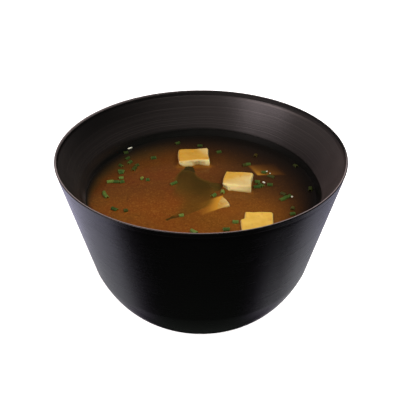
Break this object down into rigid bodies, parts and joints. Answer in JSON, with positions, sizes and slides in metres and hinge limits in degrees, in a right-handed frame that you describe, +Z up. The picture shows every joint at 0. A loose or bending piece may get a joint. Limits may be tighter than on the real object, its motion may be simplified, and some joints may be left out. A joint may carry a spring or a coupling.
{
  "type": "bowl of miso soup",
  "caption": "Deep black bowl with a straight flaring wall and rounded base, filled with cloudy brown miso soup holding tofu cubes, a sheet of wakame and chopped chives.",
  "frame": {"origin": "centre of the bowl's flat base, on the surface it stands on", "axes": "+Z up along the bowl's axis, +X to the right and +Y away from the viewer of the side shown"},
  "size_m": [0.12, 0.12, 0.076],
  "materials": {
    "bowl": "satin black lacquer over fine turning lines",
    "soup": "wet, cloudy brown broth with green chives",
    "tofu": "soft, moist, cream to yellow",
    "wakame": "wet, dark olive green"
  },
  "bodies": {
    "root": {"bowl": "bowl", "soup": "soup", "tofu_back": "tofu", "tofu_right": "tofu", "tofu_tilted": "tofu", "tofu_front": "tofu", "wakame": "wakame"}
  },
  "joints": []
}
